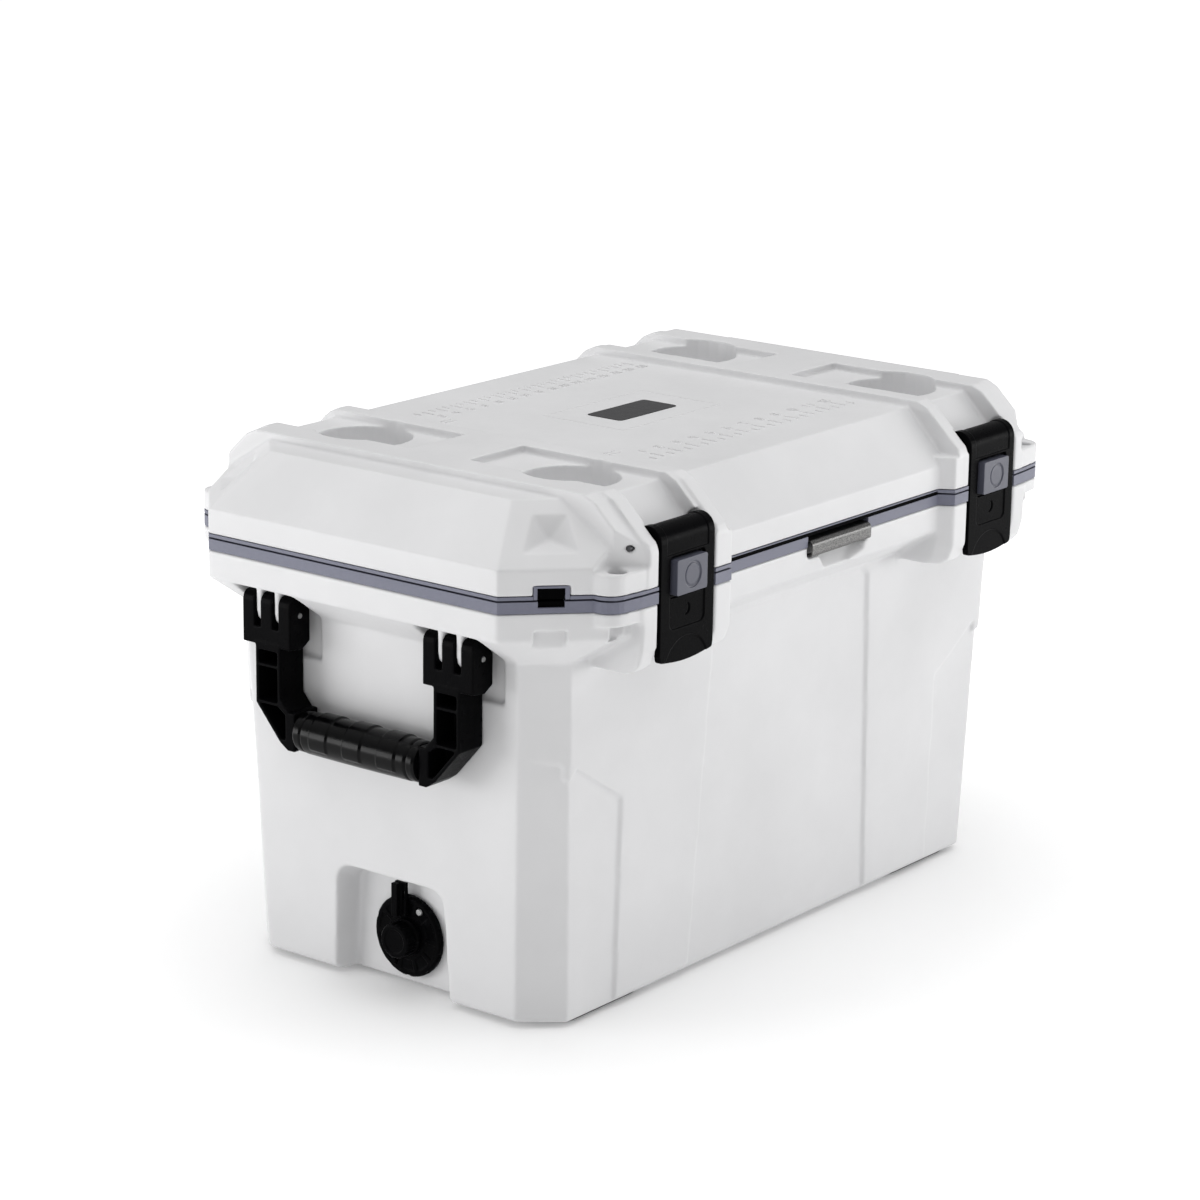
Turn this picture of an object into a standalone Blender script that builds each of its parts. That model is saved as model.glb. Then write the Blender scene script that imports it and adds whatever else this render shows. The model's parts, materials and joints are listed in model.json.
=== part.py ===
"""Hard-sided cooler chest: insulated tub, hinged lid, two latches and two carry handles.

Metres, +Z up.  +X runs along the chest (drain at the -X end), the latches are on the -Y side,
and the origin is on the floor under the middle of the chest.
"""
import math

import bmesh
import bpy
from mathutils import Matrix, Vector

# ---------------------------------------------------------------- driving dimensions
CLEAR = 0.0003            # gap between pieces that touch

# heights
UNDERSIDE_Z = 0.005
BOTTOM_EDGE = 0.005       # size of the bevel round the underside
WALL_TOP_Z = 0.336        # where the wall meets the flare under the lip
LIP_LOW_Z = 0.363
LIP_TOP_Z = 0.3875
RIM_TOP_Z = 0.3977        # top of the liner's grey rim
LID_RIM_Z = 0.3993        # underside of the lid liner's thin rim
LID_LOW_Z = 0.4025
LID_CREASE_Z = 0.425
LID_TOP_Z = 0.472
RIB_TOP_Z = 0.479
EAR_LOW_Z = 0.3755
EAR_TOP_Z = 0.421

# where the two big mouldings are parted into simpler shapes
COLLAR_Z = 0.3345
LID_PART_X = 0.1795
LID_PART_Y = -0.0015

# the wall tapers: half sizes at the floor, and how much they grow per metre of height
WALL_HALF = (0.3423, 0.1805, 0.3121, 0.1439)
WALL_GROWTH = (0.0415, 0.0237, 0.0395, 0.0368)
# half length, half width, then where the corner facet starts along the front and along the end
LIP_HALF = (0.394, 0.231, 0.3244, 0.164)
LID_TOP_HALF = (0.343, 0.1855, 0.2930, 0.13737)

# latch and hinge bays
BAY_X = 0.239             # middle of a bay
BAY_HALF = 0.040
BAY_BACK_Y = 0.2165
HOUSING_FRONT_Y = 0.2445
HOUSING_REAR_Y = 0.2385
LATCH_AXIS = (-0.2300, 0.4375)
LATCH_HEAD_R = 0.0145
LATCH_HALF = 0.0375
LATCH_LOW_Z = 0.3305
LATCH_PLATE = 0.006
BUTTON_FRONT_Y = -0.2495
BUTTON_HALF = (0.0212, 0.0155)
BUTTON_Z = 0.4063
BUTTON_TRAVEL = 0.003
HINGE_AXIS = (0.2410, 0.4005)
HINGE_R = 0.0085
PIN_R = 0.0025
PIN_BORE_R = 0.0028

# ribs and pockets on the lid
OUTER_RIB = (0.280, 0.313)
INNER_RIB = (0.182, 0.203)
BRIDGE_Y = (-0.035, 0.032)
CUP_X = 0.2455
CUP_Y = (-0.123, 0.113)
CUP_R = 0.0435
CUP_FLOOR_Z = 0.449
CUP_WALL = 0.0032

# carry handles
HANDLE_PIVOT = (0.372, 0.3385)
CLEVIS_Y = 0.104
FINGER = 0.0135
SLOT = 0.0075
LUG_R = 0.0115
GRIP_X = 0.3735
GRIP_Z = 0.2355
GRIP_HALF = 0.0700
GRIP_R = 0.0203
GRIP_BORE_R = 0.0123

# inside of the tub
LINER_MOUTH = (0.3150, 0.1500, 0.2900, 0.1250)
LINER_FLOOR = (0.3020, 0.1400, 0.2770, 0.1150)
LINER_FLOOR_Z = 0.0400
LINER_WALL = 0.0030
FOAM_GAP = 0.0016

# drain
DRAIN_Y = -0.009
DRAIN_Z = 0.050
RECESS_Y = -0.004
RECESS_BACK_X = -0.3210
FLANGE_R = 0.038
SPOUT_R = 0.0135
SPOUT_BORE_R = 0.010

# bottle opener in the front lip
OPENER_X = (-0.0425, 0.0525)
OPENER_BACK_Y = -0.2215


# ---------------------------------------------------------------- scene and materials
for old in list(bpy.data.objects):
    bpy.data.objects.remove(old, do_unlink=True)
chest = bpy.data.collections.new("cooler_chest")
cutters = bpy.data.collections.new("cutters")
bpy.context.scene.collection.children.link(chest)
bpy.context.scene.collection.children.link(cutters)


def make_material(name, colour, roughness, metallic=0.0):
    material = bpy.data.materials.new(name)
    material.use_nodes = True
    shader = material.node_tree.nodes["Principled BSDF"]
    shader.inputs["Base Color"].default_value = (*colour, 1.0)
    shader.inputs["Roughness"].default_value = roughness
    shader.inputs["Metallic"].default_value = metallic
    material.diffuse_color = (*colour, 1.0)
    return material


WHITE = make_material("white_plastic", (0.80, 0.80, 0.80), 0.45)
GREY = make_material("grey_plastic", (0.19, 0.20, 0.25), 0.45)
BLACK = make_material("black_plastic", (0.012, 0.012, 0.013), 0.40)
BADGE = make_material("badge_plastic", (0.045, 0.045, 0.047), 0.50)
SOFT = make_material("black_rubber", (0.010, 0.010, 0.010), 0.70)
STEEL = make_material("brushed_steel", (0.55, 0.54, 0.52), 0.30, 1.0)
FOAM = make_material("insulation_foam", (0.80, 0.72, 0.48), 0.90)


# ---------------------------------------------------------------- shape helpers
def finish_mesh(name, bm, group=None):
    bmesh.ops.recalc_face_normals(bm, faces=bm.faces)
    mesh = bpy.data.meshes.new(name)
    bm.to_mesh(mesh)
    bm.free()
    piece = bpy.data.objects.new(name, mesh)
    (group or cutters).objects.link(piece)
    return piece


def loft(name, loops, group=None):
    """A closed solid through loops that have the same number of points."""
    bm = bmesh.new()
    rings = [[bm.verts.new(point) for point in loop] for loop in loops]
    for low, high in zip(rings, rings[1:]):
        for i in range(len(low)):
            j = (i + 1) % len(low)
            bm.faces.new((low[i], low[j], high[j], high[i]))
    bm.faces.new(list(reversed(rings[0])))
    bm.faces.new(rings[-1])
    return finish_mesh(name, bm, group)


def placed(axis, along, point):
    """A 3-D point from an outline point: (y, z) along X, (x, z) along Y, (x, y) along Z."""
    a, b = point
    if axis == "X":
        return (along, a, b)
    if axis == "Y":
        return (a, along, b)
    return (a, b, along)


def slab(name, outline, axis, start, end, group=None):
    return loft(name, [[placed(axis, at, p) for p in outline] for at in (start, end)], group)


def box(name, low, high, group=None):
    bm = bmesh.new()
    bmesh.ops.create_cube(bm, size=1.0)
    low, high = Vector(low), Vector(high)
    size = high - low
    bmesh.ops.scale(bm, vec=size, verts=bm.verts)
    bmesh.ops.translate(bm, vec=(low + high) / 2, verts=bm.verts)
    return finish_mesh(name, bm, group)


def rod(name, radius, start, end, segments=24, group=None):
    """A cylinder between two points."""
    start, end = Vector(start), Vector(end)
    bm = bmesh.new()
    bmesh.ops.create_cone(bm, cap_ends=True, segments=segments, radius1=radius, radius2=radius,
                          depth=(end - start).length)
    turn = Vector((0, 0, 1)).rotation_difference(end - start).to_matrix().to_4x4()
    bmesh.ops.transform(bm, matrix=Matrix.Translation((start + end) / 2) @ turn, verts=bm.verts)
    return finish_mesh(name, bm, group)


def hull(name, points, group=None):
    bm = bmesh.new()
    for point in points:
        bm.verts.new(point)
    bmesh.ops.convex_hull(bm, input=bm.verts)
    return finish_mesh(name, bm, group)


def boolean(target, operation, tools):
    for tool in tools:
        if tool.name not in cutters.objects:
            cutters.objects.link(tool)
            chest.objects.unlink(tool)
        tool.hide_render = True
        tool.display_type = "WIRE"
        step = target.modifiers.new(operation.lower(), "BOOLEAN")
        step.operation = operation
        step.solver = "EXACT"
        step.object = tool


def cut(target, *tools):
    boolean(target, "DIFFERENCE", tools)


def fuse(target, *tools):
    boolean(target, "UNION", tools)


def dress(piece, material, smooth=False):
    piece.data.materials.append(material)
    if smooth:
        piece.data.shade_smooth()
        piece.data.set_sharp_from_angle(angle=math.radians(35))
    return piece


def arc(centre, radius, start, end, count):
    """Points on a circle, angles in degrees."""
    points = []
    for i in range(count + 1):
        angle = math.radians(start + (end - start) * i / count)
        points.append((centre[0] + radius * math.cos(angle), centre[1] + radius * math.sin(angle)))
    return points


def octagon(half, z, inset=0.0):
    """Loop of a rectangle with cut corners; an inset keeps every side parallel."""
    facet = Vector((half[1] - half[3], half[0] - half[2])).normalized()
    hx, hy = half[0] - inset, half[1] - inset
    cx = half[2] - inset * (1 - facet.y) / facet.x
    cy = half[3] - inset * (1 - facet.x) / facet.y
    return [(hx, -cy, z), (hx, cy, z), (cx, hy, z), (-cx, hy, z),
            (-hx, cy, z), (-hx, -cy, z), (-cx, -hy, z), (cx, -hy, z)]


def wall(z):
    return tuple(base + growth * z for base, growth in zip(WALL_HALF, WALL_GROWTH))


def mirrored(points, side_x, side_y):
    return [(side_x * x, side_y * y) for x, y in points]


CORNERS = [(-1, -1), (1, -1), (-1, 1), (1, 1)]


def corner_point(side_x, side_y, along, inward, z):
    """A point on the lip's corner facet: distance along it from its end-face edge, and depth."""
    hx, hy, cx, cy = LIP_HALF
    run = Vector((hx - cx, cy - hy)).normalized()
    x = hx - run.x * along + run.y * inward
    y = cy - run.y * along - run.x * inward
    return (side_x * x, side_y * y, z)


def corner_block(name, sides, along, inward, heights):
    loops = []
    for z in heights:
        loops.append([corner_point(*sides, along[0], inward[0], z),
                      corner_point(*sides, along[1], inward[0], z),
                      corner_point(*sides, along[1], inward[1], z),
                      corner_point(*sides, along[0], inward[1], z)])
    return loft(name, loops)


def ear_outline(side_x, side_y):
    """Plan of a tie-down ear, drawn for the front and shortened at the rear."""
    face = HOUSING_FRONT_Y if side_y < 0 else HOUSING_REAR_Y
    drop = HOUSING_FRONT_Y - face
    bay_edge = BAY_X + BAY_HALF
    outer = arc((0.3185, 0.2230 - drop), 0.018, -15, 80, 6)
    points = [(bay_edge, 0.200), (0.341, 0.200), (0.341, 0.215 - drop / 2)]
    points += outer + [(0.300, 0.2432 - drop), (bay_edge, face)]
    return mirrored(points, side_x, side_y)


def bay_box(name, side_x, side_y, low_z, high_z, back=BAY_BACK_Y):
    xs = sorted((side_x * (BAY_X - BAY_HALF), side_x * (BAY_X + BAY_HALF)))
    ys = sorted((side_y * back, side_y * 0.300))
    return box(name, (xs[0], ys[0], low_z), (xs[1], ys[1], high_z))


def tie_hole(name, side_x, side_y, low_z, high_z):
    x, y = side_x * 0.317, side_y * (0.2295 if side_y < 0 else 0.2250)
    return rod(name, 0.008, (x, y, low_z), (x, y, high_z), 20)


def rim_solid(name, low_z, high_z, group=None):
    """A layer with the lip's outline: ears at the corners, bays for the latches and hinges."""
    layer = loft(name, [octagon(LIP_HALF, low_z), octagon(LIP_HALF, high_z)], group)
    for side_x, side_y in CORNERS:
        fuse(layer, slab(name + "_ear", ear_outline(side_x, side_y), "Z", low_z, high_z))
        fuse(layer, slab(name + "_cheek", inner_cheek(side_x, side_y), "Z", low_z, high_z))
        cut(layer, bay_box(name + "_bay", side_x, side_y, low_z - 0.01, high_z + 0.01))
        cut(layer, tie_hole(name + "_hole", side_x, side_y, low_z - 0.01, high_z + 0.01))
    return layer


def inner_cheek(side_x, side_y):
    """Plan of the cheek between a bay and the middle of the lip."""
    face = HOUSING_FRONT_Y if side_y < 0 else HOUSING_REAR_Y
    inside = BAY_X - BAY_HALF
    points = [(0.168, 0.2000), (0.168, LIP_HALF[1] - 0.0005), (0.176, face), (inside, face),
              (inside, 0.2000)]
    return mirrored(points, side_x, side_y)


def opener_notch(name, low_z, high_z):
    return box(name, (OPENER_X[0], -0.30, low_z), (OPENER_X[1], OPENER_BACK_Y, high_z))


# ---------------------------------------------------------------- tub
def outer_cheek(side_x, side_y):
    """The plate on the outer side of a bay, under the ear, rounded off at its lower end."""
    face = HOUSING_FRONT_Y if side_y < 0 else HOUSING_REAR_Y
    profile = [(0.180, LIP_TOP_Z), (0.180, 0.327), (face - 0.020, 0.327),
               (face - 0.0105, 0.330), (face - 0.0045, 0.337), (face - 0.001, 0.350),
               (face, 0.365), (face, LIP_TOP_Z)]
    inside = BAY_X + BAY_HALF
    outline = [(side_y * y, z) for y, z in profile]
    return slab("outer_cheek", outline, "X", side_x * inside, side_x * (inside + 0.021))


def lower_inner_cheek(side_x, side_y):
    plan = inner_cheek(side_x, side_y)
    loops = []
    for z, pull in ((0.329, 0.014), (0.334, 0.006), (0.348, 0.0005), (LIP_TOP_Z, 0.0)):
        loops.append([(x, y - side_y * pull if abs(y) > 0.21 else side_y * 0.185, z)
                      for x, y in plan])
    return loft("lower_inner_cheek", loops)


def corner_setback(side_x, side_y):
    """The shallow step round each lower corner, with a slanting top edge."""
    depth = 0.0032
    top = {"end": 0.252, "facet": 0.243, "slant": 0.211, "inner": 0.196}
    loops = []
    for high in (False, True):
        def level(key):
            return top[key] if high else -0.01
        end, facet, slant, inner = (wall(level(k)) for k in ("end", "facet", "slant", "inner"))
        points = [
            (end[0] + 0.0002, end[3], level("end")),
            (facet[2] - depth * 0.41, facet[1] - depth, level("facet")),
            (0.258, slant[1] - depth, level("slant")),
            (0.247, inner[1] - depth, level("inner")),
            (0.247, inner[1] + 0.02, level("inner")),
            (0.258, slant[1] + 0.02, level("slant")),
            (facet[2] + 0.05, facet[1] + 0.02, level("facet")),
            (end[0] + 0.05, end[3], level("end"))]
        loops.append([(side_x * x, side_y * y, z) for x, y, z in points])
    return loft("corner_setback", loops)


def middle_panel(side_y):
    """The shallow sunk panel between the two pilasters on a long wall."""
    loops = []
    for z, half in ((-0.01, 0.142), (0.325, 0.121), (0.332, 0.112)):
        face = wall(z)[1]
        loops.append([(-half, side_y * (face - 0.003), z), (half, side_y * (face - 0.003), z),
                      (half, side_y * (face + 0.02), z), (-half, side_y * (face + 0.02), z)])
    return loft("middle_panel", loops)


def drain_recess(name, grow=0.0, back_x=RECESS_BACK_X):
    """Rounded opening at the foot of the -X end, drawn in by its draft; grow thickens it."""
    loops = []
    for x, half_low, half_top, top in ((-0.380, 0.080, 0.071, 0.117),
                                       (back_x, 0.062, 0.056, 0.103)):
        corner = 0.016
        points = [(half_low + grow, -0.02)]
        points += [(y + grow, z + grow) for y, z in
                   arc((half_top - corner, top - corner), corner, 0, 90, 4)]
        points += [(-y - grow, z + grow) for y, z in
                   arc((half_top - corner, top - corner), corner, 90, 0, 4)]
        points += [(-half_low - grow, -0.02)]
        loops.append([(x, RECESS_Y + y, z) for y, z in points])
    return loft(name, loops)


def handle_pocket(name, side_x, centre_y, grow=0.0):
    low = (0.349 - grow, centre_y - 0.036 - grow, 0.296 - grow)
    high = (0.420, centre_y + 0.036 + grow, 0.3612 + grow)
    xs = sorted((side_x * low[0], side_x * high[0]))
    return box(name, (xs[0], low[1], low[2]), (xs[1], high[1], high[2]))


def handle_lug(side_x, y_low, y_high):
    """A pierced lug that hangs under the lip and carries the handle pin."""
    px, pz = HANDLE_PIVOT
    outline = [(0.345, 0.3700), (0.345, pz - LUG_R)]
    outline += arc((px, pz), LUG_R, -90, 0, 5)
    outline += [(px + LUG_R, 0.3700)]
    lug = slab("handle_lug", [(side_x * x, z) for x, z in outline], "Y", y_low, y_high)
    cut(lug, rod("lug_bore", PIN_BORE_R, (side_x * px, y_low - 0.01, pz),
                 (side_x * px, y_high + 0.01, pz), 12))
    return lug


def lug_centres(clevis_y):
    pitch = (FINGER + SLOT) / 2
    return (clevis_y - pitch, clevis_y + pitch)


def foam_space(name, gap=0.0):
    """The space inside the outer shell; gap draws it in for the foam that fills it."""
    skin = 0.006 + gap
    top = LIP_TOP_Z + 0.02 if gap == 0.0 else LIP_TOP_Z - gap
    flare = 0.362
    core = loft(name, [octagon(wall(0.010), 0.010 + gap, skin),
                       octagon(wall(WALL_TOP_Z), WALL_TOP_Z, skin),
                       octagon(LIP_HALF, flare, 0.0215 + gap),
                       octagon(LIP_HALF, top, 0.0215 + gap)])
    cut(core, drain_recess(name + "_recess", 0.004 + gap, RECESS_BACK_X + 0.004 + gap))
    for side_x in (-1, 1):
        for side_y in (-1, 1):
            cut(core, handle_pocket(name + "_pocket", side_x, side_y * CLEVIS_Y, 0.004 + gap))
    return core


def liner_space(name, outwards, low_z, high_z):
    """Inside of the tub with its drain sump, moved outwards for the liner's own outer faces."""
    space = loft(name, [octagon(LINER_FLOOR, low_z, -outwards),
                        octagon(LINER_MOUTH, high_z, -outwards)])
    sump = box(name + "_sump", (-0.3025 - outwards, DRAIN_Y - 0.026 - outwards, 0.0265 - outwards),
               (-0.2620 + outwards, DRAIN_Y + 0.026 + outwards, 0.0450))
    fuse(space, sump)
    return space


def keep_region(piece, low, high):
    boolean(piece, "INTERSECT", [box("region", low, high)])


def make_tub_moulding(name, low, high):
    """The white tub, or the share of it between two corners of a box."""
    shell = loft(name, [
        octagon(wall(UNDERSIDE_Z), UNDERSIDE_Z, BOTTOM_EDGE),
        octagon(wall(UNDERSIDE_Z + BOTTOM_EDGE), UNDERSIDE_Z + BOTTOM_EDGE),
        octagon(wall(WALL_TOP_Z), WALL_TOP_Z),
        octagon(LIP_HALF, LIP_LOW_Z),
        octagon(LIP_HALF, LIP_TOP_Z)], chest)
    for side_y in (-1, 1):
        cut(shell, middle_panel(side_y))
    for side_x, side_y in CORNERS:
        cut(shell, corner_setback(side_x, side_y))
        fuse(shell, slab("shell_ear", ear_outline(side_x, side_y), "Z", EAR_LOW_Z, LIP_TOP_Z))
        fuse(shell, outer_cheek(side_x, side_y))
        fuse(shell, lower_inner_cheek(side_x, side_y))
        cut(shell, bay_box("shell_bay", side_x, side_y, 0.30, 0.41))
        cut(shell, tie_hole("shell_hole", side_x, side_y, 0.36, 0.40))
        cut(shell, corner_block("corner_slot", (side_x, side_y), (0.031, 0.0585), (-0.02, 0.009),
                                (0.3475, 0.3725)))
        cut(shell, handle_pocket("handle_pocket", side_x, side_y * CLEVIS_Y))
        for centre in lug_centres(side_y * CLEVIS_Y):
            half = SLOT / 2 - CLEAR
            fuse(shell, handle_lug(side_x, centre - half, centre + half))
    cut(shell, drain_recess("drain_recess"))
    cut(shell, opener_notch("opener_notch", 0.3775, 0.41))
    cut(shell, hull("opener_pocket", [
        (-0.029, -0.236, 0.380), (0.050, -0.236, 0.380), (0.050, -0.236, 0.365),
        (-0.008, -0.236, 0.350), (-0.020, -0.2195, 0.380), (0.043, -0.2195, 0.380)]))
    cut(shell, foam_space("foam_space"))
    cut(shell, rod("spout_hole", SPOUT_R + CLEAR, (-0.34, DRAIN_Y, DRAIN_Z),
                   (-0.31, DRAIN_Y, DRAIN_Z), 24))
    keep_region(shell, low, high)
    dress(shell, WHITE)


def make_outer_shell():
    """Walls and floor below the collar, then the collar in a left and a right half."""
    gap = CLEAR / 2
    make_tub_moulding("outer_shell", (-0.5, -0.5, -0.1), (0.5, 0.5, COLLAR_Z - gap))
    make_tub_moulding("collar_left", (-0.5, -0.5, COLLAR_Z + gap), (-gap, 0.5, 0.6))
    make_tub_moulding("collar_right", (gap, -0.5, COLLAR_Z + gap), (0.5, 0.5, 0.6))


def make_inner_liner():
    liner = liner_space("inner_liner", LINER_WALL, LINER_FLOOR_Z - LINER_WALL, 0.392)
    cutters.objects.unlink(liner)
    chest.objects.link(liner)
    fuse(liner, loft("liner_flange", [octagon(LINER_MOUTH, LIP_TOP_Z + CLEAR, -0.0120),
                                      octagon(LINER_MOUTH, RIM_TOP_Z, -0.0120)]))
    cut(liner, liner_space("liner_inside", 0.0, LINER_FLOOR_Z, RIM_TOP_Z + 0.01))
    cut(liner, rod("liner_hole", SPOUT_R + CLEAR, (-0.34, DRAIN_Y, DRAIN_Z),
                   (-0.28, DRAIN_Y, DRAIN_Z), 24))
    dress(liner, GREY)


def make_rim_band():
    """The grey band under the lid, round the liner's flange."""
    band = rim_solid("rim_band", LIP_TOP_Z + CLEAR, RIM_TOP_Z, chest)
    cut(band, loft("band_mouth", [octagon(LINER_MOUTH, 0.3800, -0.0123),
                                  octagon(LINER_MOUTH, 0.4100, -0.0123)]))
    cut(band, opener_notch("rim_notch", 0.38, 0.41))
    for sides in CORNERS:
        cut(band, corner_block("rim_slot", sides, (0.034, 0.0565), (-0.02, 0.010),
                               (0.3925, 0.41)))
    dress(band, GREY)


def make_foam_core():
    foam = foam_space("foam_core", FOAM_GAP)
    cutters.objects.unlink(foam)
    chest.objects.link(foam)
    cut(foam, liner_space("foam_hollow", LINER_WALL + FOAM_GAP,
                          LINER_FLOOR_Z - LINER_WALL - FOAM_GAP, 0.3925))
    cut(foam, rod("foam_hole", SPOUT_R + FOAM_GAP, (-0.34, DRAIN_Y, DRAIN_Z),
                  (-0.28, DRAIN_Y, DRAIN_Z), 24))
    dress(foam, FOAM)


def make_feet():
    for index, (side_x, side_y) in enumerate(CORNERS):
        outline = []
        for sx, sy, start in ((1, 1, 0), (-1, 1, 90), (-1, -1, 180), (1, -1, 270)):
            centre = (side_x * 0.2500 + sx * 0.042, side_y * 0.1450 + sy * 0.014)
            outline += arc(centre, 0.010, start, start + 90, 3)
        foot = slab("foot_%d" % (index + 1), outline, "Z", 0.0, UNDERSIDE_Z - CLEAR, chest)
        dress(foot, SOFT)


def make_bottle_opener():
    """A strip rolled over the front lip: a flat top, a round nose and a short turned-in lip."""
    front = arc((-0.2300, 0.3890), 0.0048, 90, 180, 4) + arc((-0.2320, 0.3815), 0.0028, 180, 270, 3)
    back = arc((-0.2320, 0.3815), 0.0012, 270, 180, 3) + arc((-0.2300, 0.3890), 0.0032, 180, 90, 4)
    outline = [(-0.2222, 0.3938)] + front + [(-0.2262, 0.3787), (-0.2262, 0.3803)] + back
    outline += [(-0.2222, 0.3922)]
    strip = slab("bottle_opener", outline, "X", OPENER_X[0] + 0.002, OPENER_X[1] - 0.0005, chest)
    dress(strip, STEEL)


def make_latch_keepers():
    for side, name in ((-1, "left"), (1, "right")):
        x = side * BAY_X
        keeper = box("latch_keeper_" + name, (x - 0.031, -0.2240, 0.3520),
                     (x + 0.031, -BAY_BACK_Y - CLEAR, 0.3620), chest)
        dress(keeper, BLACK)


def make_hinges():
    y, z = HINGE_AXIS
    plate_y = (BAY_BACK_Y + CLEAR, BAY_BACK_Y + 0.0040)
    for side, name in ((-1, "left"), (1, "right")):
        x = side * BAY_X
        base = box("hinge_base_" + name, (x - 0.036, plate_y[0], 0.350),
                   (x + 0.036, plate_y[1], 0.394), chest)
        leaf = box("hinge_leaf_" + name, (x - 0.036, plate_y[0], 0.4060),
                   (x + 0.036, plate_y[1], 0.4380), chest)
        for low, high in ((x - 0.034, x - 0.0125), (x + 0.0125, x + 0.034)):
            fuse(base, box("base_arm", (low, plate_y[0] + 0.001, 0.3850),
                           (high, y, z - 0.0030)))
            fuse(base, rod("base_knuckle", HINGE_R, (low, y, z), (high, y, z), 20))
        fuse(leaf, box("leaf_arm", (x - 0.0120, plate_y[0] + 0.001, 0.4070),
                       (x + 0.0120, y - 0.002, 0.4120)))
        fuse(leaf, hull("leaf_gusset", [
            (x + dx, yy, zz) for dx in (-0.0120, 0.0120)
            for yy, zz in ((plate_y[1] - 0.001, 0.4065), (plate_y[1] - 0.001, 0.4200),
                           (y, z + 0.0080), (y - 0.0075, z + 0.0020))]))
        fuse(leaf, rod("leaf_knuckle", HINGE_R, (x - 0.0120, y, z), (x + 0.0120, y, z), 20))
        for part in (base, leaf):
            cut(part, rod("hinge_bore", PIN_BORE_R, (x - 0.05, y, z), (x + 0.05, y, z), 12))
        pin = rod("hinge_rod_" + name, PIN_R, (x - 0.035, y, z), (x + 0.035, y, z), 12, chest)
        make_screws("hinge_base_screw_" + name, "Y", plate_y[1] + CLEAR,
                    [(x - 0.026, 0.364), (x + 0.026, 0.364)])
        make_screws("hinge_leaf_screw_" + name, "Y", plate_y[1] + CLEAR,
                    [(x - 0.026, 0.424), (x + 0.026, 0.424)])
        dress(base, BLACK)
        dress(leaf, BLACK)
        dress(pin, STEEL, True)


def make_screws(name, axis, face, places, radius=0.0038, height=0.0016, outward=1):
    """Low round screw heads on one face, each its own piece."""
    for index, (a, b) in enumerate(places):
        bm = bmesh.new()
        bmesh.ops.create_cone(bm, cap_ends=True, segments=10, radius1=radius,
                              radius2=radius * 0.8, depth=height)
        if axis == "Y":
            turn = Matrix.Rotation(-math.radians(90) * outward, 4, "X")
            centre = (a, face + outward * height / 2, b)
        else:
            turn = Matrix.Rotation(math.radians(90) * outward, 4, "Y")
            centre = (face + outward * height / 2, a, b)
        bmesh.ops.transform(bm, matrix=Matrix.Translation(centre) @ turn, verts=bm.verts)
        dress(finish_mesh("%s_%d" % (name, index + 1), bm, chest), STEEL)


# ---------------------------------------------------------------- drain
def turned_x(name, profile, segments, centre, group=None):
    """A solid turned about an X line: profile of (x, radius) from one end of the axis to the other."""
    loops = []
    for x, radius in profile:
        ring = []
        for i in range(segments):
            angle = 2 * math.pi * i / segments
            ring.append((x, centre[0] + radius * math.cos(angle),
                         centre[1] + radius * math.sin(angle)))
        loops.append(ring)
    return loft(name, loops, group)


def make_drain():
    centre = (DRAIN_Y, DRAIN_Z)
    back = RECESS_BACK_X
    gasket = turned_x("drain_gasket", [(back - CLEAR, 0.031), (back - 0.0015, 0.031)], 32,
                      centre, chest)
    flange = turned_x("drain_flange", [(back - 0.0018, FLANGE_R), (back - 0.0060, FLANGE_R),
                                       (back - 0.0078, FLANGE_R - 0.002)], 40, centre, chest)
    for part in (gasket, flange):
        cut(part, rod("flange_hole", SPOUT_R + CLEAR, (-0.35, *centre), (-0.30, *centre), 24))
    spout = turned_x("drain_spout", [(-0.2950, SPOUT_R), (-0.3400, SPOUT_R)], 24, centre, chest)
    cut(spout, rod("spout_bore", SPOUT_BORE_R, (-0.36, *centre), (-0.28, *centre), 20))
    cap = turned_x("drain_cap", [(-0.3293, 0.0175), (-0.3335, 0.0175), (-0.3337, 0.0162),
                                 (-0.3452, 0.0160), (-0.3466, 0.0146)], 32, centre, chest)
    cut(cap, rod("cap_socket", SPOUT_R + 0.0005, (-0.32, *centre), (-0.3412, *centre), 24))
    nut = turned_x("drain_nut", [(-0.2965, 0.0200), (-0.3020, 0.0200)], 6, centre, chest)
    cut(nut, rod("nut_bore", SPOUT_R + CLEAR, (-0.31, *centre), (-0.28, *centre), 24))
    face = back - 0.0078 - CLEAR
    tether = box("drain_tether", (face - 0.0040, DRAIN_Y - 0.0020, DRAIN_Z + 0.0190),
                 (face, DRAIN_Y + 0.0105, DRAIN_Z + 0.0510), chest)
    fuse(tether, box("tether_rib", (face - 0.0095, DRAIN_Y + 0.0035, DRAIN_Z + 0.0200),
                     (face - 0.003, DRAIN_Y + 0.0100, DRAIN_Z + 0.0505)))
    make_screws("drain_screw", "X", face, [(DRAIN_Y - 0.0150, DRAIN_Z + 0.0260),
                                            (DRAIN_Y + 0.0150, DRAIN_Z - 0.0260)], 0.0036,
                0.0016, -1)
    for part in (flange, cap, spout, tether, nut):
        dress(part, BLACK)
    dress(gasket, SOFT)


# ---------------------------------------------------------------- carry handles
def clevis_outline():
    px, pz = HANDLE_PIVOT
    return ([(0.3860, 0.3095), (0.3860, 0.3470)] + arc((0.3775, 0.3480), 0.0085, 0, 90, 3)
            + [(0.3705, 0.3560), (0.3595, 0.3415), (0.3595, 0.3140), (0.3700, 0.3075)])


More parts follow.
